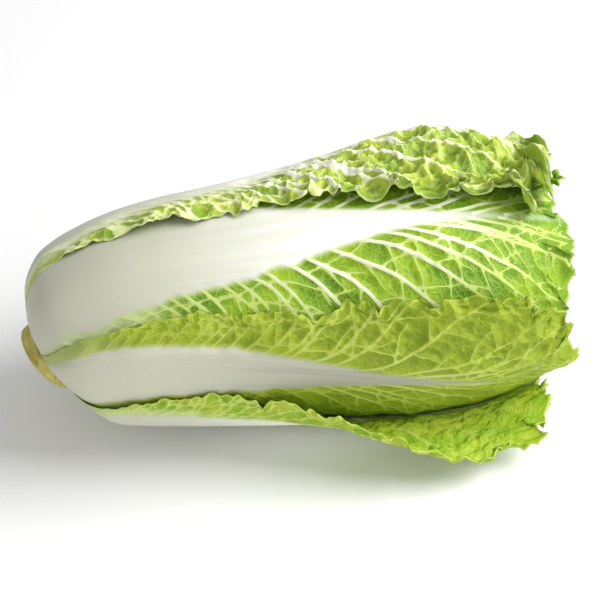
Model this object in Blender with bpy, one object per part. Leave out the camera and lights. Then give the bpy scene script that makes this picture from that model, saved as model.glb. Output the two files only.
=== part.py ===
"""A napa cabbage lying on its side: a cut stem base and its leaves, each leaf a separate solid.

Every leaf is a shell over one head shape. A place on the head is given by s, the distance along the
spine from the cut stem to the leaf tips, and phi, the angle round the spine, which is 0 towards -Y
and 90 degrees towards +Z. Leaves are laid from the outside inwards: each one lies under the summed
thickness of the leaves that cover it, so no two of them meet. The underside rests on the plane z = 0.
"""

import math
from collections import namedtuple

import bmesh
import bpy
import numpy as np

# Head, in metres
HEAD_LENGTH = 0.300  # along the spine, from the cut stem to the longest leaf tip
BELLY_RADIUS = 0.073  # at the widest place
UNDERSIDE_SAG = 0.007  # how much the weight flattens the underside at the widest place
SPINE_RISE = 0.009  # how far the spine climbs from the tips towards the stem
STEM_DROOP = math.radians(44)  # how far the stem end points below level
DROOP_LENGTH = 0.110

# Stem
STEM_RADIUS = 0.0205
STEM_LENGTH = 0.009  # cut end to the lowest leaf
CORE_RADIUS = 0.0150  # the core that carries the leaves, where it leaves the stem
CORE_LENGTH = 0.062
STEM_BEVEL = 0.0018

# Leaves
BLADE_THICKNESS = 0.0012
RIB_THICKNESS = 0.0050
RIB_HALF_WIDTH = 0.029  # at its widest, low on the leaf
LEAF_HALF_WIDTH = 0.080  # at its widest, high on the leaf
OUTER_GAP = 0.0022  # between the outer leaves
HEART_RADIUS = 0.0158  # room round the spine that the innermost leaves leave free
INNER_LAYERS = 11  # leaves that lie over one another between the heart and the outside
INNER_GAP = (BELLY_RADIUS - HEART_RADIUS) / INNER_LAYERS  # between the looser leaves inside
SEAT_GAP = 0.0012  # between a leaf's foot and the core
TUCK = 0.030  # how far outside a covering leaf's edge the leaf below starts to dip
MOST_REACH = math.radians(104)  # the widest angle that half a leaf wraps
CORNER = 0.10  # how much shorter a leaf is at the corners of its tip, as a share of its length
INNER_SHRINK = 0.8  # how much smaller the radius is that the innermost leaf wraps, as a share
INNER_RIB_LOSS = 0.5  # how much thinner the innermost rib is, as a share
SPREAD_START = 0.30  # share of the head length where blades start to stand off the head
SPREAD_END = 0.85
TIP_SPREAD_START = 0.85  # share of a leaf's length where its tip starts to stand off

# Shares of the head length against shares of the named size
HEAD_PROFILE = ((0, 0.35), (0.035, 0.56), (0.08, 0.68), (0.15, 0.77), (0.24, 0.835), (0.36, 0.89),
                (0.52, 0.95), (0.70, 1.0), (0.82, 0.97), (0.92, 0.86), (1.0, 0.68))
LEAF_OUTLINE = ((0, 0.30), (0.10, 0.40), (0.24, 0.52), (0.36, 0.58), (0.52, 0.66), (0.68, 0.85),
                (0.80, 1.0), (0.92, 1.0), (1.0, 0.92))
RIB_OUTLINE = ((0, 0.72), (0.12, 1.0), (0.25, 0.93), (0.40, 0.74), (0.52, 0.48), (0.62, 0.28),
               (0.72, 0.15), (0.85, 0.07), (1.0, 0.04))
RIB_DEPTH = ((0, 0.80), (0.10, 1.0), (0.35, 0.92), (0.60, 0.50), (0.80, 0.20), (1.0, 0.05))

# One side of a leaf, from the midrib to the edge: its width share, how far its edge stands off the
# head (metres), and how much narrower its angle gets where it spreads away from the head.
Side = namedtuple("Side", "width flare squeeze", defaults=(1.0, 0.0, 0.0))

# name, angle at the stem, twist to the tip (degrees), length share, midrib's width share, side
# towards lower angles, side towards higher angles, and how far the midrib and the tip stand off the
# head (metres)
OUTER_LEAVES = (
    ("leaf_underside", -50, 4, 0.945, 1.05, Side(1.4, 0.030, 0.2), Side(1.0, 0.034, 0.66), 0, 0),
    ("leaf_top_far", 139, -6, 0.985, 1.0, Side(1.25, 0.004, 0.18), Side(1.0, 0.004, 0.0), 0.013, -0.004),
    ("leaf_back", 199, 8, 0.99, 1.0, Side(1.0, 0.010, 0.0), Side(1.0, 0.012, 0.0), 0.003, 0.003),
    ("leaf_front_low", 12, -35, 0.98, 0.64, Side(1.0, 0.000, 0.3), Side(0.72, 0.004, 0.0), 0, 0.002),
    ("leaf_back_high", 168, -10, 1.0, 1.0, Side(0.95, 0.004, 0.0), Side(0.9, 0.003, 0.0), 0.005, 0.004),
    ("leaf_front_high", 76, -8, 0.98, 1.0, Side(1.25, 0.002, 0.0), Side(1.2, 0.002, 0.0), 0, 0.002),
)
GOLDEN_ANGLE = 137.5  # degrees from one leaf to the next one inside it
MIDDLE_LEAVES = 5
HEART_LEAVES = 9
MIDDLE_LENGTH = 0.975  # share of the head length, outermost middle leaf
HEART_LENGTH = 0.90  # share of the head length, innermost leaf
MIDDLE_WIDTH = 1.0
HEART_WIDTH = 0.80

# The longest and the widest that a leaf's facets are
OUTER_FACET = (0.0165, 0.0088)
MIDDLE_FACET = (0.0215, 0.0102)
HEART_FACET = (0.0240, 0.0116)
ROW_CROWDING = 1.35  # above 1, rows crowd towards the stem, where the head curves most
STEM_SIDES = 28
FOOT_SAMPLES = 33  # places across a leaf's foot that are tried against the core
SPINE_STEPS = 60  # short straight steps that add up to the drooping part of the spine

LEAF_GREEN = (0.46, 0.58, 0.16, 1)
STEM_CREAM = (0.72, 0.68, 0.38, 1)


def through(stations, x):
    """A smooth curve through a few (x, y) stations."""
    xs, ys = np.array(stations, float).T
    slopes = np.gradient(ys, xs)
    x = np.clip(x, xs[0], xs[-1])
    i = np.clip(np.searchsorted(xs, x, side="right") - 1, 0, len(xs) - 2)
    span = xs[i + 1] - xs[i]
    t = (x - xs[i]) / span
    rise = t * t * (3 - 2 * t)
    return (ys[i] * (1 - rise) + ys[i + 1] * rise
            + span * slopes[i] * t * (1 - t) ** 2 - span * slopes[i + 1] * t * t * (1 - t))


def smoothstep(low, high, x):
    t = np.clip((x - low) / (high - low), 0, 1)
    return t * t * (3 - 2 * t)


def spine(s):
    """The spine's x and z, and its slope angle, at distance s. It climbs, then droops at the stem."""
    left = np.clip(1 - s / DROOP_LENGTH, 0, 1)
    back = 1 - s / HEAD_LENGTH
    slope = STEM_DROOP * left ** 2 - 2 * SPINE_RISE / HEAD_LENGTH * back
    steps = np.linspace(0, 1, SPINE_STEPS)
    fine = STEM_DROOP * steps ** 2
    drop = np.interp(left, steps, np.cumsum(np.sin(fine)) * DROOP_LENGTH / SPINE_STEPS)
    short = np.interp(left, steps, np.cumsum(1 - np.cos(fine)) * DROOP_LENGTH / SPINE_STEPS)
    return s + short, BELLY_RADIUS - UNDERSIDE_SAG + SPINE_RISE * back ** 2 - drop, slope


def place(s, phi, radius):
    """World positions of points at distance s, angle phi and that radius from the spine."""
    x, z, slope = spine(s)
    up = radius * np.sin(phi)
    return np.stack([x - up * np.sin(slope), -radius * np.cos(phi), z + up * np.cos(slope)], axis=-1)


def head_radius(s):
    return BELLY_RADIUS * through(HEAD_PROFILE, s / HEAD_LENGTH)


def floor_radius(s, phi):
    """How far from the spine the resting plane is, in a direction that points down."""
    _, height, slope = spine(s)
    down = -np.sin(phi) * np.cos(slope)
    return np.where(down > 0.05, height / np.maximum(down, 0.05), 1.0)


def core_radius(s):
    return CORE_RADIUS * np.sqrt(np.clip(1 - (s - STEM_LENGTH) / CORE_LENGTH, 0, 1))


def spreading(s):
    """0 low on the head, where the leaves hold close, rising to 1 where their blades spread."""
    return smoothstep(SPREAD_START, SPREAD_END, s / HEAD_LENGTH)


def turn(angle):
    """An angle brought to between minus half a turn and half a turn."""
    return (angle + math.pi) % (2 * math.pi) - math.pi


class Leaf:
    """One leaf: where it stands, its outline and its thickness."""

    def __init__(self, order, name, angle, twist, length, rib, low, high, lift, tip_flare, facet, gap):
        self.order, self.name, self.facet, self.gap = order, name, facet, gap
        self.angle, self.twist = math.radians(angle), math.radians(twist)
        self.length, self.rib = length * HEAD_LENGTH, rib
        self.low, self.high = low, high
        self.lift, self.tip_flare = lift, tip_flare
        self.start = STEM_LENGTH
        self.depth_share = 0.0

    def middle(self, s):
        return self.angle + self.twist * (s / HEAD_LENGTH) ** 2

    def reach(self, s, high):
        """The angle from the midrib to the leaf's edge at s, on its high side where high is true."""
        width = np.where(high, self.high.width, self.low.width)
        squeeze = np.where(high, self.high.squeeze, self.low.squeeze)
        half = LEAF_HALF_WIDTH * width * through(LEAF_OUTLINE, s / HEAD_LENGTH)
        return np.minimum(half / self.wrap_radius(s), MOST_REACH) * (1 - squeeze * spreading(s))

    def wrap_radius(self, s):
        """The radius that the leaf's width is wrapped round."""
        return head_radius(s) * (1 - INNER_SHRINK * self.depth_share)

    def rib_half_width(self, s):
        return RIB_HALF_WIDTH * self.rib * through(RIB_OUTLINE, s / HEAD_LENGTH)

    def across(self, s, phi):
        """Where phi lies across the leaf: -1 at one edge, 0 on the midrib, 1 at the other edge."""
        off = turn(phi - self.middle(s))
        return off / self.reach(s, off > 0)

    def angle_at(self, s, v):
        """The angle phi at v across the leaf."""
        return self.middle(s) + v * self.reach(s, v > 0)

    def tip(self, v):
        """How far along the spine the leaf ends, at v across it."""
        return self.length * (1 - CORNER * np.abs(v) ** 3)

    def cover(self, s, phi):
        """1 where this leaf covers the head, falling to 0 at the tuck's width outside its edge."""
        v = self.across(s, phi)
        side = (1 - np.abs(v)) * self.reach(s, v > 0) * head_radius(s)
        end = self.tip(np.clip(v, -1, 1)) - s
        return smoothstep(-TUCK, 0, np.minimum(side, end))

    def thickness(self, s, phi):
        off = turn(phi - self.middle(s)) * self.wrap_radius(s)
        bulge = np.clip(1 - (off / self.rib_half_width(s)) ** 2, 0, 1)
        depth = RIB_THICKNESS * through(RIB_DEPTH, s / HEAD_LENGTH)
        depth = depth * (1 - INNER_RIB_LOSS * self.depth_share)
        return BLADE_THICKNESS + (depth - BLADE_THICKNESS).clip(0) * bulge

    def flare(self, s, phi):
        """How far the leaf's free edges stand off the head."""
        v = self.across(s, phi)
        side = np.where(v > 0, self.high.flare, self.low.flare)
        share = smoothstep(0.1, 1.0, np.abs(v))
        stand_off = self.lift * (1 - share) + side * share
        at_tip = smoothstep(TIP_SPREAD_START, 1.0, s / self.length)
        return stand_off * spreading(s) + self.tip_flare * at_tip


def all_leaves():
    """Every leaf, outermost first."""
    rows = [(*row, OUTER_FACET, OUTER_GAP) for row in OUTER_LEAVES]
    angle = OUTER_LEAVES[-1][1]
    for i in range(MIDDLE_LEAVES + HEART_LEAVES):
        angle -= GOLDEN_ANGLE
        middle = i < MIDDLE_LEAVES
        t = i / (MIDDLE_LEAVES + HEART_LEAVES - 1)
        length = MIDDLE_LENGTH + (HEART_LENGTH - MIDDLE_LENGTH) * t
        width = MIDDLE_WIDTH + (HEART_WIDTH - MIDDLE_WIDTH) * t
        name = f"leaf_middle_{i + 1}" if middle else f"leaf_heart_{i + 1 - MIDDLE_LEAVES}"
        side = Side(width)
        facet = MIDDLE_FACET if middle else HEART_FACET
        rows.append((name, angle, 0, length, 1.0, side, side, 0, 0, facet, INNER_GAP))
    leaves = [Leaf(i, *row) for i, row in enumerate(rows)]
    for leaf in leaves:
        leaf.depth_share = max(0, leaf.order - 3) / len(leaves)
    return leaves


def outer_radius(leaf, leaves, s, phi):
    """The leaf's outer face: the head less what covers it, and its own flare where nothing does."""
    depth, covered = 0.0, 0.0
    for other in leaves[:leaf.order]:
        cover = other.cover(s, phi)
        depth = depth + cover * (other.thickness(s, phi) + other.gap)
        covered = np.maximum(covered, cover)
    free = head_radius(s) + leaf.flare(s, phi) * (1 - covered)
    return np.minimum(free, floor_radius(s, phi)) - depth


def find_start(leaf, leaves):
    """The lowest s at which the whole foot of the leaf clears the core."""
    for s in np.arange(STEM_LENGTH + 0.0008, 0.45 * HEAD_LENGTH, 0.0005):
        phi = leaf.angle_at(s, np.linspace(-1, 1, FOOT_SAMPLES))
        inner = outer_radius(leaf, leaves, s, phi) - leaf.thickness(s, phi)
        if inner.min() > core_radius(s) + SEAT_GAP:
            return s
    raise ValueError(f"{leaf.name} finds no place on the core")


def leaf_grid(leaf, leaves):
    """Outer and inner positions of the leaf's points, in rows from foot to tip."""
    rows = math.ceil((leaf.length - leaf.start) / leaf.facet[0])
    columns = math.ceil(LEAF_HALF_WIDTH * (leaf.low.width + leaf.high.width) / leaf.facet[1])
    u = np.linspace(0, 1, rows + 1)[:, None] ** ROW_CROWDING
    v = np.linspace(-1, 1, columns + 1)[None, :] + 0 * u
    s = leaf.start + (leaf.tip(v) - leaf.start) * u
    phi = leaf.angle_at(s, v)
    outer = outer_radius(leaf, leaves, s, phi)
    inner = outer - leaf.thickness(s, phi)
    return place(s, phi, outer), place(s, phi, inner)


def shell(name, outer, inner, colour):
    """A closed solid between two grids of points."""
    rows, columns = outer.shape[:2]
    bm = bmesh.new()
    sheets = [[[bm.verts.new(p) for p in row] for row in sheet] for sheet in (outer, inner)]
    out, back = sheets
    for i in range(rows - 1):
        for j in range(columns - 1):
            bm.faces.new((out[i][j], out[i][j + 1], out[i + 1][j + 1], out[i + 1][j]))
            bm.faces.new((back[i][j], back[i + 1][j], back[i + 1][j + 1], back[i][j + 1]))
    rim = ([(0, j) for j in range(columns - 1)] + [(i, columns - 1) for i in range(rows - 1)]
           + [(rows - 1, j) for j in range(columns - 1, 0, -1)] + [(i, 0) for i in range(rows - 1, 0, -1)])
    for (i, j), (k, m) in zip(rim, rim[1:] + rim[:1]):
        bm.faces.new((out[i][j], back[i][j], back[k][m], out[k][m]))
    bmesh.ops.recalc_face_normals(bm, faces=bm.faces)
    bmesh.ops.triangulate(bm, faces=bm.faces)
    return finished(name, bm, colour)


def finished(name, bm, colour):
    mesh = bpy.data.meshes.new(name)
    bm.to_mesh(mesh)
    bm.free()
    mesh.shade_smooth()
    mesh.set_sharp_from_angle(angle=math.radians(50))
    material = bpy.data.materials.new(name)
    material.use_nodes = True
    shader = material.node_tree.nodes["Principled BSDF"]
    shader.inputs["Base Color"].default_value = colour
    shader.inputs["Roughness"].default_value = 0.45
    shader.inputs["Metallic"].default_value = 0.0
    mesh.materials.append(material)
    obj = bpy.data.objects.new(name, mesh)
    bpy.context.scene.collection.objects.link(obj)
    return obj


def stem_base():
    """The cut stem and the core above it, turned about the spine."""
    core = [(STEM_LENGTH + CORE_LENGTH * t ** 1.3, core_radius(STEM_LENGTH + CORE_LENGTH * t ** 1.3))
            for t in np.linspace(0, 0.96, 7)]
    outline = [(0, STEM_RADIUS - STEM_BEVEL), (STEM_BEVEL, STEM_RADIUS),
               (STEM_LENGTH - STEM_BEVEL, STEM_RADIUS), (STEM_LENGTH, STEM_RADIUS - STEM_BEVEL)] + core
    bm = bmesh.new()
    angles = np.linspace(0, 2 * math.pi, STEM_SIDES, endpoint=False)
    rings = [[bm.verts.new(place(np.float64(s), a, r)) for a in angles] for s, r in outline]
    for low, high in zip(rings, rings[1:]):
        for j in range(STEM_SIDES):
            k = (j + 1) % STEM_SIDES
            bm.faces.new((low[j], low[k], high[k], high[j]))
    bm.faces.new(rings[0])
    bm.faces.new(rings[-1])
    bmesh.ops.recalc_face_normals(bm, faces=bm.faces)
    bmesh.ops.triangulate(bm, faces=bm.faces)
    return finished("stem_base", bm, STEM_CREAM)


def clear_scene():
    for obj in list(bpy.data.objects):
        bpy.data.objects.remove(obj)


def centre_on_floor(objects):
    """Moves everything so that the origin is under the middle of the whole box."""
    corners = np.array([v.co for obj in objects for v in obj.data.vertices])
    low, high = corners.min(axis=0), corners.max(axis=0)
    for obj in objects:
        obj.location = (-(low[0] + high[0]) / 2, -(low[1] + high[1]) / 2, -low[2])


def main():
    clear_scene()
    leaves = all_leaves()
    objects = [stem_base()]
    for leaf in leaves:
        leaf.start = find_start(leaf, leaves)
        objects.append(shell(leaf.name, *leaf_grid(leaf, leaves), LEAF_GREEN))
    centre_on_floor(objects)


main()
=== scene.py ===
"""A napa cabbage on its side, each leaf a crinkled, veined sheet with a frilled edge.

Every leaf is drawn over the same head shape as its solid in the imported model. A place on the head is
given by s, the distance along the spine from the cut stem to the leaf tips, phi, the angle round the
spine, which is 0 towards -Y and 90 degrees towards +Z, and the distance from the spine. A place on a
flattened leaf is given by p, the distance along the leaf, and q, the distance from its midrib.
"""

import math
from collections import namedtuple

import bpy
import numpy as np
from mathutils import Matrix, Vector


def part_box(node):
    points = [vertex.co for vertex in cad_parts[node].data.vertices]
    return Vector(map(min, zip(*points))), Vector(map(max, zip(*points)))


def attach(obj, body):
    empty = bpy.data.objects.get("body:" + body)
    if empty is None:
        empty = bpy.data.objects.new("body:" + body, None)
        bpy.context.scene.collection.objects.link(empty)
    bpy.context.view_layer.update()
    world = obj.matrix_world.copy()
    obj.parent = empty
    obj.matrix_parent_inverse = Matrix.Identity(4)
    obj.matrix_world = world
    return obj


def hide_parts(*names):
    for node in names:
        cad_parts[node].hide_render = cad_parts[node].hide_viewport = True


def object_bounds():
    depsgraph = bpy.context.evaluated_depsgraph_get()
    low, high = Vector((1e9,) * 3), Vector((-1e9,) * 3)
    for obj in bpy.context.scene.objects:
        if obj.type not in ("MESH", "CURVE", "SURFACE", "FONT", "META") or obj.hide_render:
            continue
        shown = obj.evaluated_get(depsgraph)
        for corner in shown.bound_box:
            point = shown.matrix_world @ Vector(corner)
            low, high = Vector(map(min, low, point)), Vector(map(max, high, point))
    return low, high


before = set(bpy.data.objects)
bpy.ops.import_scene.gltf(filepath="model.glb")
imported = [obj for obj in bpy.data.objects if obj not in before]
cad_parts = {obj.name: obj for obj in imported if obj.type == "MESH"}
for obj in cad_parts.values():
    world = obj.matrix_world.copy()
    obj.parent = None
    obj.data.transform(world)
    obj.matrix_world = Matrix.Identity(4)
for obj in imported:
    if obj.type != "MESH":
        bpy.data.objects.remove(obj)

CAD_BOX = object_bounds()

# The head, in metres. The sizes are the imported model's, but for a smaller gap between the outer
# leaves, and in OUTER_LEAVES some blade edges that reach further, a longer leaf_back_high and a
# leaf_top_far whose tip leans in more
HEAD_LENGTH = 0.300
BELLY_RADIUS = 0.073
UNDERSIDE_SAG = 0.007
SPINE_RISE = 0.009
STEM_DROOP = math.radians(44)
DROOP_LENGTH = 0.110
STEM_RADIUS = 0.0205
STEM_LENGTH = 0.009
CORE_RADIUS = 0.0150
CORE_LENGTH = 0.062
BLADE_THICKNESS = 0.0012
RIB_THICKNESS = 0.0050
RIB_HALF_WIDTH = 0.029
LEAF_HALF_WIDTH = 0.080
OUTER_GAP = 0.0012
HEART_RADIUS = 0.0158
INNER_LAYERS = 11
INNER_GAP = (BELLY_RADIUS - HEART_RADIUS) / INNER_LAYERS
SEAT_GAP = 0.0012
TUCK = 0.030
MOST_REACH = math.radians(104)
CORNER = 0.10
INNER_SHRINK = 0.8
INNER_RIB_LOSS = 0.5
SPREAD_START = 0.30
SPREAD_END = 0.85
TIP_SPREAD_START = 0.85

# Shares of the head length against shares of the named size
HEAD_PROFILE = ((0, 0.35), (0.035, 0.56), (0.08, 0.68), (0.15, 0.77), (0.24, 0.835), (0.36, 0.89),
                (0.52, 0.95), (0.70, 1.0), (0.82, 0.97), (0.92, 0.86), (1.0, 0.68))
LEAF_OUTLINE = ((0, 0.30), (0.10, 0.40), (0.24, 0.52), (0.36, 0.58), (0.52, 0.66), (0.68, 0.85),
                (0.80, 1.0), (0.92, 1.0), (1.0, 0.92))
RIB_OUTLINE = ((0, 0.72), (0.12, 1.0), (0.25, 0.93), (0.40, 0.74), (0.52, 0.48), (0.62, 0.28),
               (0.72, 0.15), (0.85, 0.07), (1.0, 0.04))
RIB_DEPTH = ((0, 0.80), (0.10, 1.0), (0.35, 0.92), (0.60, 0.50), (0.80, 0.20), (1.0, 0.05))

Side = namedtuple("Side", "width flare squeeze", defaults=(1.0, 0.0, 0.0))
OUTER_LEAVES = (
    ("leaf_underside", -50, 4, 0.945, 1.05, Side(1.4, 0.030, 0.2), Side(1.15, 0.034, 0.70), 0, 0),
    ("leaf_top_far", 139, -6, 0.985, 1.0, Side(1.25, 0.004, 0.18), Side(1.0, 0.004, 0.0), 0.013, -0.007),
    ("leaf_back", 199, 8, 0.99, 1.0, Side(1.0, 0.010, 0.0), Side(1.0, 0.012, 0.0), 0.003, 0.003),
    ("leaf_front_low", 12, -35, 0.98, 0.64, Side(1.0, 0.000, 0.3), Side(0.80, 0.004, 0.0), 0, 0.002),
    ("leaf_back_high", 168, -10, 1.03, 1.0, Side(0.95, 0.004, 0.0), Side(0.9, 0.003, 0.0), 0.005, 0.004),
    ("leaf_front_high", 76, -8, 0.98, 1.0, Side(1.25, 0.002, 0.0), Side(1.2, 0.002, 0.0), 0, 0.002),
)
GOLDEN_ANGLE = 137.5
MIDDLE_LEAVES = 5
HEART_LEAVES = 9
MIDDLE_LENGTH = 0.975
HEART_LENGTH = 0.90
MIDDLE_WIDTH = 1.0
HEART_WIDTH = 0.80

# Fine surface
LEAF_EDGE_THICKNESS = 0.0006
RASTER_STEP = 0.0006  # spacing of the flat map on which a leaf's veins are drawn
RASTER_HALF_WIDTH = 0.115
VEIN_STEP = 0.003  # veins grow by straight pieces of this length
# Along the leaf's length: how far apart the veins leave the midrib, half their width, and their
# angle from the midrib in degrees, beside it and far from it
VEIN_SPACING = ((0, 0.0070), (0.30, 0.0075), (0.45, 0.0105), (0.60, 0.0150), (1.0, 0.0150))
VEIN_HALF_WIDTH = ((0, 0.0004), (0.20, 0.0005), (0.38, 0.0008), (0.50, 0.0013), (0.60, 0.0015),
                   (0.80, 0.0011), (1.0, 0.0007))
VEIN_ANGLE_NEAR = ((0, 42), (0.40, 36), (0.55, 20), (1.0, 13))
VEIN_ANGLE_FAR = ((0, 72), (0.40, 66), (0.55, 48), (1.0, 36))
TWIG_HALF_WIDTH = 0.00042
TWIG_LENGTH = 0.020
LEAST_RIDGE = 0.0011  # half the width of the ridge over the thinnest veins
VEIN_REACH = 0.0075  # how far from a vein the blade still feels it
RIB_RAISE = 0.0016  # how far the midrib stands proud of the blade
QUILT_DEPTH = 0.0022  # how far the blade sinks between veins
CELL_SIZE = 0.0062  # blisters between the finest veins
FOOT_LENGTH = 0.018  # the stretch over which a leaf's foot rounds in to the stem
FOOT_SHARE = 0.12  # how much of its distance from the stem's side a foot keeps at its lowest
ROUND_OFF = 0.16  # how far the corners of a leaf's end are drawn in
TIP_CURL = 0.006  # how far the inner leaves' tips lean in, and up to twice this at the heart
LEAST_RADIUS = 0.004  # how near the spine a leaf's outer side may come
PAST_TIPS = 1.045  # how far along a ragged tip may reach, as a share of the head length
# Waves of a free edge: their length and height, how far in they fade, and their seed
RUFFLES = ((0.027, 0.0056, 0.018, 1), (0.0120, 0.0032, 0.010, 2), (0.0056, 0.0015, 0.006, 3))
# Wandering of a leaf's outline: its height, its length and its seed, and how far it is drawn in
RAGGED_WAVES = ((0.0038, 0.017, 5), (0.0027, 0.0065, 6), (0.0016, 0.0036, 7))
RAGGED_IN = 0.0020

# What each leaf looks like: seed, shares of ruffling on its low and high sides, of raggedness, of
# vein width and of crumpling, spacing of its mesh in metres, and which colours it has
Look = namedtuple("Look", "seed low high ragged veins crumple mesh colours")
LOOKS = {
    "leaf_underside": Look(11, 0.8, 0.7, 1.5, 0.7, 1.1, 0.00115, "deep"),
    "leaf_top_far": Look(23, 1.9, 1.2, 1.4, 1.5, 2.0, 0.0011, "pale"),
    "leaf_back": Look(37, 1.0, 1.0, 1.2, 1.0, 1.2, 0.0011, "green"),
    "leaf_front_low": Look(41, 0.5, 0.55, 1.5, 0.6, 0.8, 0.0010, "yellow"),
    "leaf_back_high": Look(53, 1.5, 1.2, 1.5, 1.0, 1.5, 0.0011, "green"),
    "leaf_front_high": Look(67, 0.7, 0.9, 1.6, 1.0, 1.0, 0.0011, "green"),
}
MIDDLE_MESH_STEP = 0.0016
HEART_MESH_STEP = 0.0022
INNER_LOOK = (0.9, 0.9, 1.2, 0.8, 1.0)  # the same shares for every middle and heart leaf


def through(stations, x):
    """A smooth curve through a few (x, y) stations."""
    xs, ys = np.array(stations, float).T
    slopes = np.gradient(ys, xs)
    x = np.clip(x, xs[0], xs[-1])
    i = np.clip(np.searchsorted(xs, x, side="right") - 1, 0, len(xs) - 2)
    span = xs[i + 1] - xs[i]
    t = (x - xs[i]) / span
    rise = t * t * (3 - 2 * t)
    return (ys[i] * (1 - rise) + ys[i + 1] * rise
            + span * slopes[i] * t * (1 - t) ** 2 - span * slopes[i + 1] * t * t * (1 - t))


def smoothstep(low, high, x):
    t = np.clip((x - low) / (high - low), 0, 1)
    return t * t * (3 - 2 * t)


def spine(s):
    """The spine's x and z, and its slope angle, at distance s. It climbs, then droops at the stem."""
    left = np.clip(1 - s / DROOP_LENGTH, 0, 1)
    back = 1 - s / HEAD_LENGTH
    slope = STEM_DROOP * left ** 2 - 2 * SPINE_RISE / HEAD_LENGTH * back
    steps = np.linspace(0, 1, 60)
    fine = STEM_DROOP * steps ** 2
    drop = np.interp(left, steps, np.cumsum(np.sin(fine)) * DROOP_LENGTH / 60)
    short = np.interp(left, steps, np.cumsum(1 - np.cos(fine)) * DROOP_LENGTH / 60)
    return s + short, BELLY_RADIUS - UNDERSIDE_SAG + SPINE_RISE * back ** 2 - drop, slope


def place(s, phi, radius):
    """Positions, before the head is moved to its place in the frame."""
    x, z, slope = spine(s)
    up = radius * np.sin(phi)
    return np.stack([x - up * np.sin(slope), -radius * np.cos(phi), z + up * np.cos(slope)], axis=-1)


def head_radius(s):
    return BELLY_RADIUS * through(HEAD_PROFILE, s / HEAD_LENGTH)


def floor_radius(s, phi):
    _, height, slope = spine(s)
    down = -np.sin(phi) * np.cos(slope)
    return np.where(down > 0.05, height / np.maximum(down, 0.05), 1.0)


def core_radius(s):
    return CORE_RADIUS * np.sqrt(np.clip(1 - (s - STEM_LENGTH) / CORE_LENGTH, 0, 1))


def spreading(s):
    return smoothstep(SPREAD_START, SPREAD_END, s / HEAD_LENGTH)


def turn(angle):
    """An angle brought to between minus half a turn and half a turn."""
    return (angle + math.pi) % (2 * math.pi) - math.pi


class Leaf:
    """One leaf: where it stands, its outline and its thickness."""

    def __init__(self, order, name, angle, twist, length, rib, low, high, lift, tip_flare, gap):
        self.order, self.name, self.gap = order, name, gap
        self.angle, self.twist = math.radians(angle), math.radians(twist)
        self.length, self.rib = length * HEAD_LENGTH, rib
        self.low, self.high = low, high
        self.lift, self.tip_flare = lift, tip_flare
        self.start = STEM_LENGTH
        self.depth_share = 0.0

    def middle(self, s):
        return self.angle + self.twist * (s / HEAD_LENGTH) ** 2

    def half_width(self, s, high):
        width = np.where(high, self.high.width, self.low.width)
        return LEAF_HALF_WIDTH * width * through(LEAF_OUTLINE, s / HEAD_LENGTH)

    def reach(self, s, high):
        squeeze = np.where(high, self.high.squeeze, self.low.squeeze)
        angle = self.half_width(s, high) / self.wrap_radius(s)
        return np.minimum(angle, MOST_REACH) * (1 - squeeze * spreading(s))

    def wrap_radius(self, s):
        return head_radius(s) * (1 - INNER_SHRINK * self.depth_share)

    def rib_half_width(self, s):
        return RIB_HALF_WIDTH * self.rib * through(RIB_OUTLINE, s / HEAD_LENGTH)

    def across(self, s, phi):
        off = turn(phi - self.middle(s))
        return off / self.reach(s, off > 0)

    def angle_at(self, s, v):
        return self.middle(s) + v * self.reach(s, v > 0)

    def tip(self, v):
        return self.length * (1 - CORNER * np.abs(v) ** 3)

    def cover(self, s, phi):
        v = self.across(s, phi)
        side = (1 - np.abs(v)) * self.reach(s, v > 0) * head_radius(s)
        end = self.tip(np.clip(v, -1, 1)) - s
        return smoothstep(-TUCK, 0, np.minimum(side, end))

    def thickness(self, s, phi):
        off = turn(phi - self.middle(s)) * self.wrap_radius(s)
        bulge = np.clip(1 - (off / self.rib_half_width(s)) ** 2, 0, 1)
        depth = RIB_THICKNESS * through(RIB_DEPTH, s / HEAD_LENGTH)
        depth = depth * (1 - INNER_RIB_LOSS * self.depth_share)
        return BLADE_THICKNESS + (depth - BLADE_THICKNESS).clip(0) * bulge

    def flare(self, s, phi):
        v = self.across(s, phi)
        side = np.where(v > 0, self.high.flare, self.low.flare)
        share = smoothstep(0.1, 1.0, np.abs(v))
        stand_off = self.lift * (1 - share) + side * share
        at_tip = smoothstep(TIP_SPREAD_START, 1.0, s / self.length)
        return stand_off * spreading(s) + self.tip_flare * at_tip


def all_leaves():
    """Every leaf, outermost first."""
    rows = [(*row, OUTER_GAP) for row in OUTER_LEAVES]
    angle = OUTER_LEAVES[-1][1]
    for i in range(MIDDLE_LEAVES + HEART_LEAVES):
        angle -= GOLDEN_ANGLE
        t = i / (MIDDLE_LEAVES + HEART_LEAVES - 1)
        length = MIDDLE_LENGTH + (HEART_LENGTH - MIDDLE_LENGTH) * t
        side = Side(MIDDLE_WIDTH + (HEART_WIDTH - MIDDLE_WIDTH) * t)
        middle = i < MIDDLE_LEAVES
        name = f"leaf_middle_{i + 1}" if middle else f"leaf_heart_{i + 1 - MIDDLE_LEAVES}"
        rows.append((name, angle, 0, length, 1.0, side, side, 0, 0, INNER_GAP))
    leaves = [Leaf(i, *row) for i, row in enumerate(rows)]
    for leaf in leaves:
        leaf.depth_share = max(0, leaf.order - 3) / len(leaves)
    return leaves


def covered_by(leaf, leaves, s, phi):
    """How deep the leaves over this one press it in, and how far it is covered, from 0 to 1."""
    depth, covered = 0.0, 0.0
    for other in leaves[:leaf.order]:
        cover = other.cover(s, phi)
        depth = depth + cover * (other.thickness(s, phi) + other.gap)
        covered = np.maximum(covered, cover)
    return depth, covered


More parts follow.
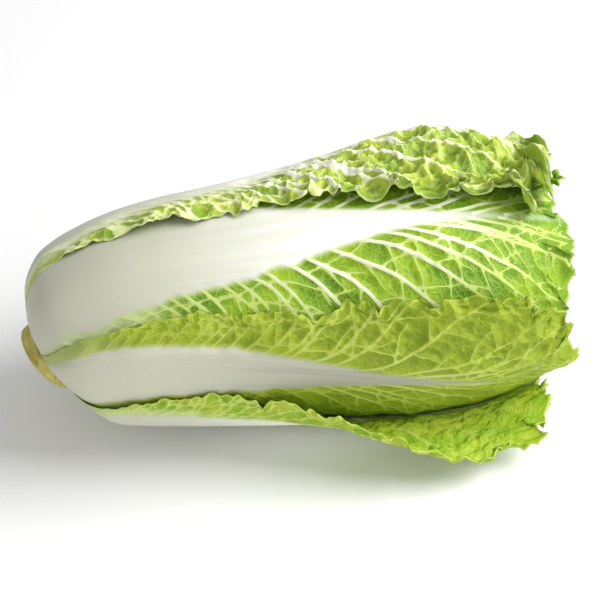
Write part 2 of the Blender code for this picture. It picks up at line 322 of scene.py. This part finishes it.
def find_start(leaf, leaves):
    """The lowest s at which the whole foot of the leaf clears the core."""
    for s in np.arange(STEM_LENGTH + 0.0008, 0.45 * HEAD_LENGTH, 0.0005):
        phi = leaf.angle_at(s, np.linspace(-1, 1, 33))
        depth, covered = covered_by(leaf, leaves, s, phi)
        free = head_radius(s) + leaf.flare(s, phi) * (1 - covered)
        inner = np.minimum(free, floor_radius(s, phi)) - depth - leaf.thickness(s, phi)
        if inner.min() > core_radius(s) + SEAT_GAP:
            return s
    raise ValueError(f"{leaf.name} finds no place on the core")


def noise(x, y, seed):
    """Smooth noise, about -1 to 1, whose bumps are about one unit wide."""
    size = 64
    turns = np.random.RandomState(seed).uniform(0, 2 * math.pi, (size, size))
    i, j = np.floor(x).astype(int), np.floor(y).astype(int)
    fx, fy = x - i, y - j

    def corner(di, dj):
        angle = turns[(i + di) % size, (j + dj) % size]
        return np.cos(angle) * (fx - di) + np.sin(angle) * (fy - dj)

    wx, wy = smoothstep(0, 1, fx), smoothstep(0, 1, fy)
    low = corner(0, 0) * (1 - wx) + corner(1, 0) * wx
    high = corner(0, 1) * (1 - wx) + corner(1, 1) * wx
    return 1.6 * (low * (1 - wy) + high * wy)


def cells(x, y, seed):
    """Distances to the nearest and the second nearest of scattered points, one to each unit square."""
    size = 64
    points = np.random.RandomState(seed).uniform(0.1, 0.9, (size, size, 2))
    i, j = np.floor(x).astype(int), np.floor(y).astype(int)
    near = np.full(x.shape, 9.0)
    second = near.copy()
    for di in (-1, 0, 1):
        for dj in (-1, 0, 1):
            point = points[(i + di) % size, (j + dj) % size]
            apart = np.hypot(i + di + point[..., 0] - x, j + dj + point[..., 1] - y)
            second = np.minimum(second, np.maximum(near, apart))
            near = np.minimum(near, apart)
    return near, second


class Veins:
    """A flat map of a leaf's lateral veins: how far each place is from one, and how high they stand."""

    def __init__(self, leaf, look):
        self.leaf, self.width = leaf, look.veins
        self.random = np.random.RandomState(look.seed)
        self.p = np.arange(0, HEAD_LENGTH + RASTER_STEP, RASTER_STEP)
        self.q = np.arange(-RASTER_HALF_WIDTH, RASTER_HALF_WIDTH, RASTER_STEP)
        shape = (len(self.p), len(self.q))
        self.apart = np.full(shape, VEIN_REACH)  # metres to the nearest vein's middle
        self.signed = np.full(shape, VEIN_REACH)  # the same, negative on the vein's right
        self.half = np.full(shape, TWIG_HALF_WIDTH)
        self.flank = np.full(shape, VEIN_REACH)  # metres to the nearest vein's flank
        self.ridge = np.zeros(shape)
        for side in (-1, 1):
            self.grow_side(side)

    def grow_side(self, side):
        p = self.leaf.start + 0.006 + 0.006 * self.random.uniform()
        while p < 0.88 * self.leaf.length:
            share = p / self.leaf.length
            rib = self.leaf.rib_half_width(p)
            q = side * max(0.45 * rib, rib - 0.006)
            half = through(VEIN_HALF_WIDTH, share) * self.width * self.random.uniform(0.8, 1.2)
            heading = math.radians(through(VEIN_ANGLE_NEAR, share) + self.random.uniform(-5, 5))
            self.grow(p, q, side, heading, half)
            p += through(VEIN_SPACING, share) * self.random.uniform(0.7, 1.3)

    def edge_share(self, p, q, side):
        """0 beside the midrib, 1 at the leaf's edge."""
        rib = self.leaf.rib_half_width(p)
        return (abs(q) - rib) / max(1e-4, self.leaf.half_width(p, side > 0) - rib)

    def grow(self, p, q, side, heading, half, twig_length=None):
        """One vein and its twigs. Its heading is its angle from the midrib's direction."""
        bend = self.random.choice((-1, 1))
        start, first, grown = p / self.leaf.length, half, 0.0
        most = twig_length or 0.13
        since = self.random.uniform(0, 0.006)
        near, far = through(VEIN_ANGLE_NEAR, start), through(VEIN_ANGLE_FAR, start)
        while grown < most:
            share = self.edge_share(p, q, side)
            if share > 0.97 or p > self.leaf.length - 0.006:
                break
            if twig_length is None:
                target = near + (far - near) * smoothstep(-0.1, 0.6, share)
                heading += 0.22 * (math.radians(target) - heading)
            heading += math.radians(self.random.uniform(-5, 5) * (2 if twig_length else 1))
            next_p = p + VEIN_STEP * math.cos(heading)
            next_q = q + side * VEIN_STEP * math.sin(heading)
            self.stamp(p, q, next_p, next_q, half)
            p, q = next_p, next_q
            grown += VEIN_STEP
            since += VEIN_STEP
            thinned = 0.65 * min(1, grown / min(most, 0.10)) ** 1.3
            half = first * (1 - thinned) * (1 - 0.5 * smoothstep(0.70, 0.95, p / self.leaf.length))
            if twig_length is None and share > 0.05 and since > 0.0085:
                since = self.random.uniform(-0.003, 0.003)
                bend = -bend
                branch = heading + bend * math.radians(self.random.uniform(30, 55))
                reach = self.random.uniform(0.5, 1.3) * TWIG_LENGTH
                self.grow(p, q, side, branch, min(TWIG_HALF_WIDTH, 0.7 * half), reach)

    def stamp(self, p0, q0, p1, q1, half):
        """Draws one straight piece of vein."""
        low_p = np.searchsorted(self.p, min(p0, p1) - VEIN_REACH)
        high_p = np.searchsorted(self.p, max(p0, p1) + VEIN_REACH)
        low_q = np.searchsorted(self.q, min(q0, q1) - VEIN_REACH)
        high_q = np.searchsorted(self.q, max(q0, q1) + VEIN_REACH)
        if high_p <= low_p or high_q <= low_q:
            return
        window = (slice(low_p, high_p), slice(low_q, high_q))
        p, q = self.p[window[0], None] - p0, self.q[None, window[1]] - q0
        dp, dq = p1 - p0, q1 - q0
        t = np.clip((p * dp + q * dq) / (dp * dp + dq * dq), 0, 1)
        apart = np.hypot(p - t * dp, q - t * dq)
        closer = apart - half < self.flank[window]
        left = np.where(dp * q - dq * p < 0, -1.0, 1.0)
        for field, value in ((self.flank, apart - half), (self.half, half), (self.signed, apart * left)):
            field[window] = np.where(closer, value, field[window])
        self.apart[window] = np.minimum(self.apart[window], apart)
        ridge = 0.95 * half * np.exp(-0.9 * (apart / max(half, LEAST_RIDGE)) ** 2)
        self.ridge[window] = np.maximum(self.ridge[window], ridge)

    def read(self, field, p, q):
        """The map's values at places on the leaf."""
        i = np.clip(p / RASTER_STEP, 0, len(self.p) - 1.001)
        j = np.clip((q + RASTER_HALF_WIDTH) / RASTER_STEP, 0, len(self.q) - 1.001)
        a, b = i.astype(int), j.astype(int)
        x, y = i - a, j - b
        return ((field[a, b] * (1 - y) + field[a, b + 1] * y) * (1 - x)
                + (field[a + 1, b] * (1 - y) + field[a + 1, b + 1] * y) * x)


def along_margin(leaf, p, v, half):
    """Distance along the leaf's edge from the middle of its tip, negative on the low side."""
    back = (leaf.tip(v) - p) * smoothstep(0, 0.35, np.abs(v))
    return np.sign(v) * (np.abs(v) * half + back)


def ruffles(leaf, look, p, v, half, margin, edge):
    """How a leaf's free edge waves: offsets along p and q, and a lift off the head."""
    share = np.where(v > 0, look.high, look.low) * smoothstep(0.04, 0.25, p / HEAD_LENGTH)
    share = share * (0.25 + 0.75 * smoothstep(0.40, 0.75, p / HEAD_LENGTH))
    share = share * (1 + 0.35 * smoothstep(0.85, 1.0, p / leaf.length))
    row = 0 * margin + look.seed
    lift, slide = 0.0, 0.0
    for length, height, fade, seed in RUFFLES:
        sway = noise(margin / (1.7 * length), row, look.seed + seed)
        phase = 2 * math.pi * (margin / length + 0.45 * sway)
        strength = share * height * np.exp(-(edge / fade) ** 2)
        strength = strength * (1 + 0.7 * noise(margin / (2.1 * length), row + 3, look.seed + seed))
        lift = lift + strength * (0.5 + 0.5 * np.sin(phase))
        slide = slide + 0.5 * strength * np.cos(phase)
    to_side, to_tip = (1 - np.abs(v)) * half, leaf.tip(v) - p
    sideways = to_side / (to_side + to_tip + 1e-5)
    return -slide * np.sign(v) * (1 - sideways), slide * sideways, lift


def ragged(look, margin):
    """How far the leaf's outline wanders, in metres."""
    row = 0 * margin + look.seed
    waves = [height * noise(margin / length, row, look.seed + seed)
             for height, length, seed in RAGGED_WAVES]
    return sum(waves) - RAGGED_IN


def pinch(s, radius):
    """Rounds the leaves' feet in to the stem, keeping their order."""
    target = STEM_RADIUS + 0.0003
    t = np.clip((s - STEM_LENGTH - 0.0008) / FOOT_LENGTH, 0, 1)
    share = FOOT_SHARE + (1 - FOOT_SHARE) * np.sqrt(1 - (1 - t) ** 2)
    return target + (radius - target) * share


def leaf_sheets(leaf, leaves, look):
    """The leaf's outer and inner positions and what its surface is like at each, as grids."""
    step = look.mesh
    rows = round((leaf.length - leaf.start) / step)
    columns = round(LEAF_HALF_WIDTH * (leaf.low.width + leaf.high.width) / step)
    u = np.linspace(0, 1, rows + 1)[:, None]
    v = np.linspace(-1, 1, columns + 1)[None, :] + 0 * u
    p = leaf.start + (leaf.tip(v) - leaf.start) * u
    half = leaf.half_width(p, v > 0)
    q = v * half
    edge = np.minimum((1 - np.abs(v)) * half, leaf.tip(v) - p)

    margin = along_margin(leaf, p, v, half)
    wander = ragged(look, margin) * look.ragged * (0.3 + 0.7 * smoothstep(0.10, 0.40, p / HEAD_LENGTH))
    side_pull = smoothstep(0.7, 1.0, np.abs(v)) * wander * np.sign(v)
    tip_pull = smoothstep(0.85, 1.0, u) * wander
    dp, dq, lift = ruffles(leaf, look, p, v, half, margin, edge)
    s = np.clip(p + dp + tip_pull, leaf.start, HEAD_LENGTH * PAST_TIPS)
    moved = v * (1 - ROUND_OFF * smoothstep(0.75, 1.0, u) * v ** 2) + (dq + side_pull) / half
    phi = leaf.angle_at(s, moved)

    veins = Veins(leaf, look)
    read = (veins.read(field, p, q) for field in (veins.apart, veins.signed, veins.half, veins.ridge))
    apart, signed, vein_half, ridge = read
    rib = leaf.rib_half_width(p) * (1 + 0.10 * noise(p / 0.012, np.sign(q), look.seed + 8))
    from_rib = np.abs(q) - rib
    on_blade = smoothstep(-0.004, 0.003, from_rib)
    bent_p = p + 0.002 * noise(p / 0.011, q / 0.011, look.seed + 12)
    bent_q = q + 0.002 * noise(p / 0.011, q / 0.011, look.seed + 13)
    near, second = cells(bent_p / CELL_SIZE, bent_q / CELL_SIZE, look.seed + 9)
    crumple = look.crumple * smoothstep(0, 0.02, from_rib)
    crumple = crumple * (0.45 + 0.55 * smoothstep(0.3, 0.7, p / HEAD_LENGTH))
    quilt = 1 - np.exp(-(apart / 0.0030) ** 2)
    sink = quilt * (0.4 + 0.9 * crumple * (1 - 1.3 * near ** 2).clip(0))
    crest = 0.0006 * crumple * np.exp(-((second - near) / 0.16) ** 2)
    swell = (0.0022 * noise(p / 0.036, q / 0.030, look.seed + 10)
             + 0.0016 * crumple * noise(p / 0.013, q / 0.011, look.seed + 14)
             + 0.0008 * crumple * noise(p / 0.0052, q / 0.0046, look.seed + 15))
    bumps = ridge + crest - QUILT_DEPTH * sink
    relief = on_blade * (bumps + swell)
    on_rib = smoothstep(0.0015, -0.006, from_rib) * smoothstep(0.75, 0.4, p / HEAD_LENGTH)
    streak = noise(p / 0.09, q / 0.0030, look.seed + 11)
    relief = relief + RIB_RAISE * on_rib + 0.00016 * streak * (1 - on_blade)

    depth, covered = covered_by(leaf, leaves, s, phi)
    free = head_radius(s) + leaf.flare(s, phi) * (1 - covered)
    outer = np.minimum(free, floor_radius(s, phi)) - depth
    inner_leaf = leaf.order >= len(OUTER_LEAVES)
    at_tip = smoothstep(0.84, 1.0, p / leaf.length) * inner_leaf
    open_share = 1 - 0.75 * covered * (1 - 0.6 * at_tip)
    outer = outer + (relief + lift) * open_share - TIP_CURL * (1 + leaf.depth_share) * at_tip
    outer = np.maximum(outer, LEAST_RADIUS)
    thick = leaf.thickness(p, leaf.angle_at(p, v)) - BLADE_THICKNESS + LEAF_EDGE_THICKNESS
    inner = outer - thick
    outer, inner = pinch(s, outer), pinch(s, inner)
    surface = {
        "vein_side": signed * 1000,
        "vein_apart": apart * 1000,
        "vein_half": vein_half * 1000,
        "height": bumps * 1000,
        "from_rib": from_rib * 1000,
        "edge": edge * 1000,
        "leaf_place": np.stack([p, q, 0 * p + 0.1 * leaf.order], axis=-1),
    }
    return place(s, phi, outer), place(s, phi, inner), surface


def sheet_mesh(name, outer, inner, surface):
    """A closed mesh between two grids of points, with its surface values and a map for painting."""
    rows, columns = outer.shape[:2]
    count = rows * columns
    points = np.concatenate([outer.reshape(-1, 3), inner.reshape(-1, 3)])
    index = np.arange(count).reshape(rows, columns)
    front = np.stack([index[:-1, :-1], index[:-1, 1:], index[1:, 1:], index[1:, :-1]], -1).reshape(-1, 4)
    rim = np.concatenate([index[0, :-1], index[:-1, -1], index[-1, :0:-1], index[:0:-1, 0]])
    after = np.roll(rim, -1)
    sides = np.stack([rim, after, after + count, rim + count], -1)
    faces = np.concatenate([front[:, ::-1], front + count, sides])
    a = points[faces[:, 0]]
    volume = np.einsum("ij,ij->i", a, np.cross(points[faces[:, 1]], points[faces[:, 2]])
                       + np.cross(points[faces[:, 2]], points[faces[:, 3]])).sum()
    if volume < 0:
        faces = faces[:, ::-1]
    mesh = bpy.data.meshes.new(name)
    mesh.vertices.add(len(points))
    mesh.vertices.foreach_set("co", points.astype(np.float32).ravel())
    mesh.loops.add(faces.size)
    mesh.loops.foreach_set("vertex_index", faces.astype(np.int32).ravel())
    mesh.polygons.add(len(faces))
    mesh.polygons.foreach_set("loop_start", np.arange(0, faces.size, 4, dtype=np.int32))
    mesh.update(calc_edges=True)
    mesh.validate()
    for field, values in surface.items():
        both = np.concatenate([values.reshape(count, -1)] * 2).astype(np.float32)
        kind = "FLOAT_VECTOR" if both.shape[1] == 3 else "FLOAT"
        attribute = mesh.attributes.new(field, kind, "POINT")
        attribute.data.foreach_set("vector" if kind == "FLOAT_VECTOR" else "value", both.ravel())
    side = np.concatenate([np.zeros(count), np.ones(count)]).astype(np.float32)
    mesh.attributes.new("inside", "FLOAT", "POINT").data.foreach_set("value", side)
    paint_map(mesh, faces, rows, columns)
    mesh.shade_smooth()
    return mesh


def paint_map(mesh, faces, rows, columns):
    """The outer side fills the map's left half and the inner side its right half."""
    count = rows * columns
    row, column = np.divmod(np.arange(count), columns)
    left = np.stack([0.01 + 0.47 * column / (columns - 1), 0.01 + 0.98 * row / (rows - 1)], -1)
    right = left + (0.51, 0)
    corners = np.concatenate([left, right])[faces]
    mixed = (faces < count).any(axis=1) & (faces >= count).any(axis=1)
    corners[mixed] = np.concatenate([left, left - (0.004, 0)])[faces[mixed]]
    layer = mesh.uv_layers.new(name="OFBake")
    layer.data.foreach_set("uv", corners.astype(np.float32).ravel())


def scene_offset():
    """From the head's own coordinates to the frame, found from where the stem's solid lies."""
    angles = np.linspace(0, 2 * math.pi, 28, endpoint=False)
    bevel = 0.0018
    outline = [(0, STEM_RADIUS - bevel), (bevel, STEM_RADIUS), (STEM_LENGTH - bevel, STEM_RADIUS),
               (STEM_LENGTH, STEM_RADIUS - bevel)]
    points = np.concatenate([place(np.full(28, s), angles, r) for s, r in outline])
    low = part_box("stem_base")[0]
    return np.array([low.x, low.y, low.z]) - points.min(axis=0)


# Studio and camera: name, place, size and power of each light, and where the camera stands
LIGHTS = (("key", (0.95, -0.15, 1.0), 1.0, 24.0), ("front", (0.2, -1.4, 0.5), 1.0, 4.5))
SKY_STRENGTH = 0.50
CAMERA_AZIMUTH = math.radians(-11)
CAMERA_ELEVATION = math.radians(42)
CAMERA_DISTANCE = 1.1
CAMERA_LENS = 120
CAMERA_AIM = (0.002, 0.0, 0.0015)  # what it looks at, its height above the middle of the box

# Colours, as linear red, green and blue
Colours = namedtuple("Colours", "dark bright pale vein rib haze")
RIB_WHITE = (0.88, 0.89, 0.82, 1)
# Painted shade: the ribs turn to this grey at the stem end, which droops away from the key light; the
# same grey also marks the ribs' faint streaks
FOOT_SHADE_AND_STREAK_GREY = (0.56, 0.57, 0.45, 1)
COLOURS = {
    "green": Colours((0.10, 0.24, 0.002, 1), (0.26, 0.42, 0.008, 1), (0.50, 0.62, 0.15, 1),
                     (0.78, 0.83, 0.56, 1), RIB_WHITE, 0.09),
    # Painted shade: this set's rib colour is a darkened copy of the rib white, for the low front leaf's
    # rib that lies in shade
    "yellow": Colours((0.20, 0.29, 0.008, 1), (0.29, 0.385, 0.016, 1), (0.41, 0.50, 0.07, 1),
                      (0.52, 0.57, 0.29, 1), (0.35, 0.345, 0.27, 1), 0.06),
    "deep": Colours((0.20, 0.37, 0.006, 1), (0.37, 0.48, 0.022, 1), (0.50, 0.61, 0.12, 1),
                    (0.62, 0.72, 0.38, 1), RIB_WHITE, 0.14),
    "pale": Colours((0.18, 0.33, 0.008, 1), (0.48, 0.60, 0.055, 1), (0.72, 0.80, 0.36, 1),
                    (0.86, 0.89, 0.70, 1), RIB_WHITE, 0.26),
    "middle": Colours((0.28, 0.40, 0.020, 1), (0.46, 0.56, 0.08, 1), (0.60, 0.67, 0.20, 1),
                      (0.76, 0.80, 0.46, 1), RIB_WHITE, 0.16),
    "heart": Colours((0.46, 0.52, 0.08, 1), (0.68, 0.70, 0.24, 1), (0.78, 0.78, 0.38, 1),
                     (0.84, 0.84, 0.58, 1), RIB_WHITE, 0.20),
}


class Shader:
    """Short calls for adding nodes to one material."""

    def __init__(self, name):
        self.material = bpy.data.materials.new(name)
        self.material.use_nodes = True
        self.tree = self.material.node_tree
        self.surface = self.tree.nodes["Principled BSDF"]

    def node(self, kind, settings=None, **inputs):
        """Adds a node. Inputs are named with underscores for spaces."""
        made = self.tree.nodes.new(kind)
        for field, value in (settings or {}).items():
            setattr(made, field, value)
        for field, value in inputs.items():
            self.set(made.inputs[field.replace("_", " ")], value)
        return made

    def set(self, socket, value):
        if isinstance(value, bpy.types.NodeSocket):
            self.tree.links.new(value, socket)
        else:
            socket.default_value = value

    def read(self, name, vector=False):
        made = self.node("ShaderNodeAttribute", {"attribute_name": name})
        return made.outputs["Vector" if vector else "Fac"]

    def math(self, operation, a, b=0.0):
        made = self.node("ShaderNodeMath", {"operation": operation})
        self.set(made.inputs[0], a)
        self.set(made.inputs[1], b)
        return made.outputs[0]

    def ramp(self, value, low, high, to_low=0.0, to_high=1.0):
        made = self.node("ShaderNodeMapRange", {"interpolation_type": "SMOOTHSTEP"}, Value=value,
                         From_Min=low, From_Max=high, To_Min=to_low, To_Max=to_high)
        return made.outputs["Result"]

    def mix(self, share, a, b):
        made = self.node("ShaderNodeMix", {"data_type": "RGBA"})
        self.set(made.inputs[0], share)
        self.set(made.inputs[6], a)
        self.set(made.inputs[7], b)
        return made.outputs[2]

    def stretch(self, vector, scale):
        made = self.node("ShaderNodeMapping", {}, Vector=vector, Scale=scale)
        return made.outputs[0]

    def noise(self, vector, scale, detail=3.0):
        made = self.node("ShaderNodeTexNoise", {}, Vector=vector, Scale=scale, Detail=detail)
        return made.outputs["Fac"]

    def crackle(self, vector, scale):
        """Distance to the edge of irregular cells."""
        settings = {"feature": "DISTANCE_TO_EDGE"}
        return self.node("ShaderNodeTexVoronoi", settings, Vector=vector, Scale=scale).outputs["Distance"]


def leaf_material(name, colours):
    shader = Shader(name)
    where = shader.read("leaf_place", vector=True)
    wobble = shader.node("ShaderNodeTexNoise", {}, Vector=where, Scale=140.0, Detail=2.0).outputs["Color"]
    bent = shader.node("ShaderNodeVectorMath", {"operation": "MULTIPLY_ADD"})
    shader.set(bent.inputs[0], wobble)
    shader.set(bent.inputs[1], (0.0028, 0.0028, 0.0))
    shader.set(bent.inputs[2], where)
    net = bent.outputs[0]

    along = shader.node("ShaderNodeSeparateXYZ", {}, Vector=where).outputs["X"]
    patches = shader.noise(where, 45.0)
    blade = shader.mix(shader.ramp(patches, 0.34, 0.66), colours.dark, colours.bright)
    height = shader.read("height")
    # Painted shade: places sunk between the veins are drawn darker, towards the dark green
    blade = shader.mix(shader.ramp(height, -0.8, -2.6, 0.0, 0.6), blade, colours.dark)
    cell = shader.crackle(net, 240.0)
    blade = shader.mix(shader.ramp(cell, 0.07, 0.01, 0.0, 0.28), blade, colours.pale)
    fine = shader.crackle(net, 560.0)
    blade = shader.mix(shader.ramp(fine, 0.09, 0.02, 0.0, 0.14), blade, colours.pale)
    edge = shader.read("edge")
    near_edge = shader.ramp(edge, 12.0, 4.0, 0.0, 0.5)
    near_tip = shader.ramp(along, 0.22, 0.27)
    blade = shader.mix(shader.math("MULTIPLY", near_edge, near_tip), blade, colours.dark)
    blade = shader.mix(shader.ramp(edge, 1.6, 0.3, 0.0, 0.55), blade, colours.pale)
    vein_half = shader.read("vein_half")
    middle = shader.math("ABSOLUTE", shader.read("vein_side"))
    false_line = shader.ramp(shader.read("vein_apart"), 0.9, 1.3, 0.0, 3.0)
    vein = shader.math("DIVIDE", shader.math("ADD", middle, false_line), vein_half)
    inside = shader.ramp(shader.read("inside"), 0.0, 1.0, 1.0, 0.45)
    beside = shader.math("MULTIPLY", shader.ramp(vein, 2.6, 1.0, 0.0, 0.35), inside)
    blade = shader.mix(beside, blade, colours.pale)
    on_vein = shader.math("MULTIPLY", shader.ramp(vein, 1.35, 0.85), inside)
    vein_tint = shader.mix(shader.ramp(vein_half, 0.4, 1.2), colours.pale, colours.vein)
    blade = shader.mix(on_vein, blade, vein_tint)
    from_rib = shader.read("from_rib")
    off_tip = shader.ramp(along, 0.27, 0.20)
    beside_rib = shader.math("MULTIPLY", shader.ramp(from_rib, 12.0, 0.0, 0.0, 0.65), off_tip)
    haze = shader.math("MULTIPLY", beside_rib, shader.ramp(along, colours.haze, 0.4 * colours.haze))
    blade = shader.mix(haze, blade, colours.vein)
    flank = shader.math("MULTIPLY", shader.ramp(from_rib, 2.5, 0.0, 0.0, 0.5), off_tip)
    blade = shader.mix(flank, blade, colours.pale)
    streaks = shader.noise(shader.stretch(where, (12.0, 420.0, 1.0)), 1.0)
    # Painted shade: each rib is drawn grey towards the stem end, where the head droops away from the key
    # light
    rib = shader.mix(shader.ramp(along, 0.05, 0.17), FOOT_SHADE_AND_STREAK_GREY, colours.rib)
    rib = shader.mix(shader.ramp(streaks, 0.35, 0.7, 0.0, 0.30), rib, FOOT_SHADE_AND_STREAK_GREY)
    rib_fade = shader.ramp(along, 0.27, 0.20, 0.25, 1.0)
    on_rib = shader.math("MULTIPLY", shader.ramp(from_rib, 1.2, -2.2), rib_fade)
    colour = shader.mix(on_rib, blade, rib)
    shader.set(shader.surface.inputs["Base Color"], colour)

    grain = shader.noise(where, 900.0, 2.0)
    net_height = shader.ramp(cell, 0.0, 0.22, 1.0, 0.0)
    net_height = shader.math("MULTIPLY", net_height, 0.7)
    height = shader.math("ADD", net_height, shader.math("MULTIPLY", grain, 0.5))
    off_vein = shader.math("MULTIPLY", shader.ramp(from_rib, -1.0, 2.0), shader.ramp(vein, 0.9, 2.0))
    height = shader.math("MULTIPLY", height, off_vein)
    height = shader.math("MULTIPLY", height, shader.ramp(haze, 0.5, 0.0, 0.3, 1.0))
    height = shader.math("ADD", height, shader.math("MULTIPLY", streaks, 0.35))
    bump = shader.node("ShaderNodeBump", {}, Strength=0.38, Distance=0.0008, Height=height)
    shader.set(shader.surface.inputs["Normal"], bump.outputs[0])
    roughness = shader.ramp(shader.noise(where, 160.0), 0.3, 0.7, 0.44, 0.60)
    shader.set(shader.surface.inputs["Roughness"], roughness)
    shader.surface.inputs["Specular IOR Level"].default_value = 0.24
    shader.surface.inputs["Subsurface Weight"].default_value = 0.2
    shader.surface.inputs["Subsurface Radius"].default_value = (0.7, 1.0, 0.25)
    shader.surface.inputs["Subsurface Scale"].default_value = 0.003
    return shader.material


def stem_material():
    shader = Shader("stem_flesh")
    where = shader.node("ShaderNodeTexCoord").outputs["Object"]
    blotch = shader.noise(where, 90.0)
    colour = shader.mix(shader.ramp(blotch, 0.35, 0.65), (0.40, 0.34, 0.055, 1), (0.58, 0.52, 0.14, 1))
    scar = shader.noise(shader.stretch(where, (230.0, 60.0, 60.0)), 1.0)
    colour = shader.mix(shader.ramp(scar, 0.56, 0.70, 0.0, 0.85), colour, (0.19, 0.11, 0.035, 1))
    shader.set(shader.surface.inputs["Base Color"], colour)
    height = shader.math("ADD", shader.noise(where, 380.0), shader.math("MULTIPLY", scar, -0.8))
    bump = shader.node("ShaderNodeBump", {}, Strength=0.8, Distance=0.0009, Height=height)
    shader.set(shader.surface.inputs["Normal"], bump.outputs[0])
    shader.set(shader.surface.inputs["Roughness"], shader.ramp(blotch, 0.3, 0.7, 0.55, 0.75))
    return shader.material


def add_piece(name, mesh, material, node):
    mesh.materials.append(material)
    piece = bpy.data.objects.new(name, mesh)
    bpy.context.scene.collection.objects.link(piece)
    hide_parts(node)
    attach(piece, "root")
    return piece


def look_of(leaf):
    if leaf.name in LOOKS:
        return LOOKS[leaf.name]
    middle = leaf.name.startswith("leaf_middle")
    step = MIDDLE_MESH_STEP if middle else HEART_MESH_STEP
    return Look(100 + 13 * leaf.order, *INNER_LOOK, step, "middle" if middle else "heart")


def add_leaves(offset):
    leaves = all_leaves()
    materials = {name: leaf_material(f"leaf_{name}", colours) for name, colours in COLOURS.items()}
    for leaf in leaves:
        leaf.start = find_start(leaf, leaves)
        look = look_of(leaf)
        outer, inner, surface = leaf_sheets(leaf, leaves, look)
        outer, inner = outer + offset, inner + offset
        outer[..., 2] = np.maximum(outer[..., 2], 0.0002)
        inner[..., 2] = np.maximum(inner[..., 2], 0.0006)
        mesh = sheet_mesh(f"{leaf.name}_sheet", outer, inner, surface)
        add_piece(f"{leaf.name}_sheet", mesh, materials[look.colours], leaf.name)


def add_stem(offset):
    """The cut stem: a worn disc, a scarred side and the core that the leaves grow from."""
    sides = 160
    angles = np.linspace(0, 2 * math.pi, sides, endpoint=False)
    outline = [(0.0006 + 0.0006 * t, t * (STEM_RADIUS - 0.0012)) for t in np.linspace(0.02, 1, 18)]
    outline += [(0.0017 + (STEM_LENGTH - 0.0019) * t, STEM_RADIUS) for t in np.linspace(0, 1, 12)]
    outline += [(STEM_LENGTH + CORE_LENGTH * t, float(core_radius(STEM_LENGTH + CORE_LENGTH * t)))
                for t in np.linspace(0.02, 0.96, 14)]
    rings = []
    for s, radius in outline:
        worn = noise(angles * 6 / math.pi, 0 * angles + s / 0.002, 5) * smoothstep(0.004, 0.012, radius)
        ring = place(np.full(sides, s) + 0.0003 * worn, angles, radius + 0.0005 * worn)
        rings.append(ring + offset)
    points = np.concatenate(rings)
    count = len(rings)
    faces = []
    for i in range(count - 1):
        for j in range(sides):
            k = (j + 1) % sides
            faces.append((i * sides + j, i * sides + k, (i + 1) * sides + k, (i + 1) * sides + j))
    faces.append(tuple(range(sides - 1, -1, -1)))
    faces.append(tuple((count - 1) * sides + j for j in range(sides)))
    mesh = bpy.data.meshes.new("stem_cut")
    mesh.from_pydata(points.tolist(), [], [tuple(reversed(face)) for face in faces])
    mesh.update()
    mesh.shade_smooth()
    add_piece("stem_cut", mesh, stem_material(), "stem_base")


def add_floor():
    mesh = bpy.data.meshes.new("floor")
    mesh.from_pydata([(-3, -3, 0), (3, -3, 0), (3, 3, 0), (-3, 3, 0)], [], [(0, 1, 2, 3)])
    shader = Shader("floor_white")
    where = shader.node("ShaderNodeTexCoord").outputs["Object"]
    tone = shader.mix(shader.noise(where, 3.0), (0.90, 0.90, 0.90, 1), (0.93, 0.93, 0.93, 1))
    shader.set(shader.surface.inputs["Base Color"], tone)
    shader.surface.inputs["Roughness"].default_value = 0.9
    mesh.materials.append(shader.material)
    floor = bpy.data.objects.new("floor", mesh)
    bpy.context.scene.collection.objects.link(floor)


def add_light(name, place_at, target, size, energy):
    light = bpy.data.lights.new(name, "AREA")
    light.size = size
    light.energy = energy
    lamp = bpy.data.objects.new(name, light)
    lamp.location = place_at
    lamp.rotation_mode = "QUATERNION"
    lamp.rotation_quaternion = (Vector(target) - Vector(place_at)).to_track_quat("-Z", "Y")
    bpy.context.scene.collection.objects.link(lamp)


def add_studio(centre):
    for name, place_at, size, energy in LIGHTS:
        add_light(name, place_at, centre, size, energy)
    world = bpy.data.worlds.new("studio")
    bpy.context.scene.world = world
    world.use_nodes = True
    background = world.node_tree.nodes["Background"]
    background.inputs["Color"].default_value = (1.0, 1.0, 1.0, 1)
    background.inputs["Strength"].default_value = SKY_STRENGTH
    bpy.context.scene.view_settings.view_transform = "Standard"


def add_camera(target):
    level = math.cos(CAMERA_ELEVATION)
    back = Vector((math.sin(CAMERA_AZIMUTH) * level, -math.cos(CAMERA_AZIMUTH) * level,
                   math.sin(CAMERA_ELEVATION)))
    camera = bpy.data.objects.new("camera", bpy.data.cameras.new("camera"))
    camera.data.lens = CAMERA_LENS
    camera.location = target + back * CAMERA_DISTANCE
    camera.rotation_mode = "QUATERNION"
    camera.rotation_quaternion = (-back).to_track_quat("-Z", "Y")
    bpy.context.scene.collection.objects.link(camera)
    bpy.context.scene.camera = camera


offset = scene_offset()
middle = (CAD_BOX[0] + CAD_BOX[1]) / 2
add_leaves(offset)
add_stem(offset)
add_floor()
add_studio(middle)
add_camera(Vector((CAMERA_AIM[0], CAMERA_AIM[1], middle.z + CAMERA_AIM[2])))
